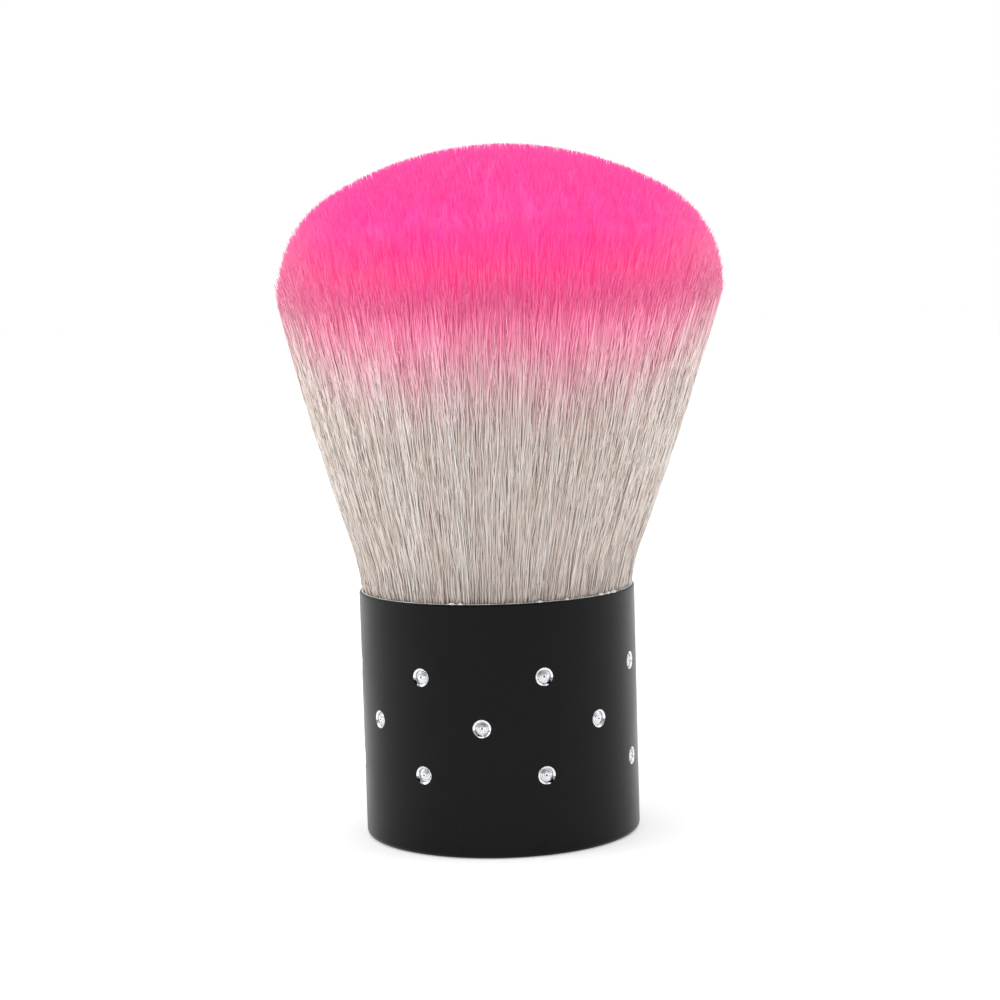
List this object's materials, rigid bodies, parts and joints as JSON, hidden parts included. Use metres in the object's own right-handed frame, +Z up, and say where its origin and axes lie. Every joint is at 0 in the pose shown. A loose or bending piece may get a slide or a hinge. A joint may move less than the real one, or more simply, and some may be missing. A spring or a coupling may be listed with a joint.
{
  "type": "acrylic nail brush",
  "caption": "Mushroom-headed nail dust brush: dense soft pink-to-ivory filaments potted in a short round anodised handle cup set with small bright stones. Stands on its flat base.",
  "frame": {"origin": "centre of the base that the brush stands on", "axes": "+Z up along the brush's axis, from base to filament tips; -Y points out through a stone of the middle row"},
  "size_m": [0.0454, 0.0454, 0.0697],
  "materials": {
    "anodised_handle": "satin black anodised",
    "moulded_cup": "moulded",
    "cured_resin": "cast, glossy",
    "binding_thread": "twisted thread",
    "filaments": "fine dyed filaments, ivory at the root",
    "clear_adhesive": "clear, glossy",
    "stone": "faceted, foiled back"
  },
  "bodies": {
    "root": {"handle_cup": "anodised_handle", "knot_cup": "moulded_cup", "resin_plug": "cured_resin", "knot_thread": "binding_thread", "bristle_bundle": "filaments", "mouth_glue": "clear_adhesive", "stone_glue": "clear_adhesive", "stone_upper_1": "stone", "stone_upper_2": "stone", "stone_upper_3": "stone", "stone_upper_4": "stone", "stone_upper_5": "stone", "stone_upper_6": "stone", "stone_upper_7": "stone", "stone_middle_1": "stone", "stone_middle_2": "stone", "stone_middle_3": "stone", "stone_middle_4": "stone", "stone_middle_5": "stone", "stone_middle_6": "stone", "stone_middle_7": "stone", "stone_lower_1": "stone", "stone_lower_2": "stone", "stone_lower_3": "stone", "stone_lower_4": "stone", "stone_lower_5": "stone", "stone_lower_6": "stone", "stone_lower_7": "stone"}
  },
  "joints": []
}
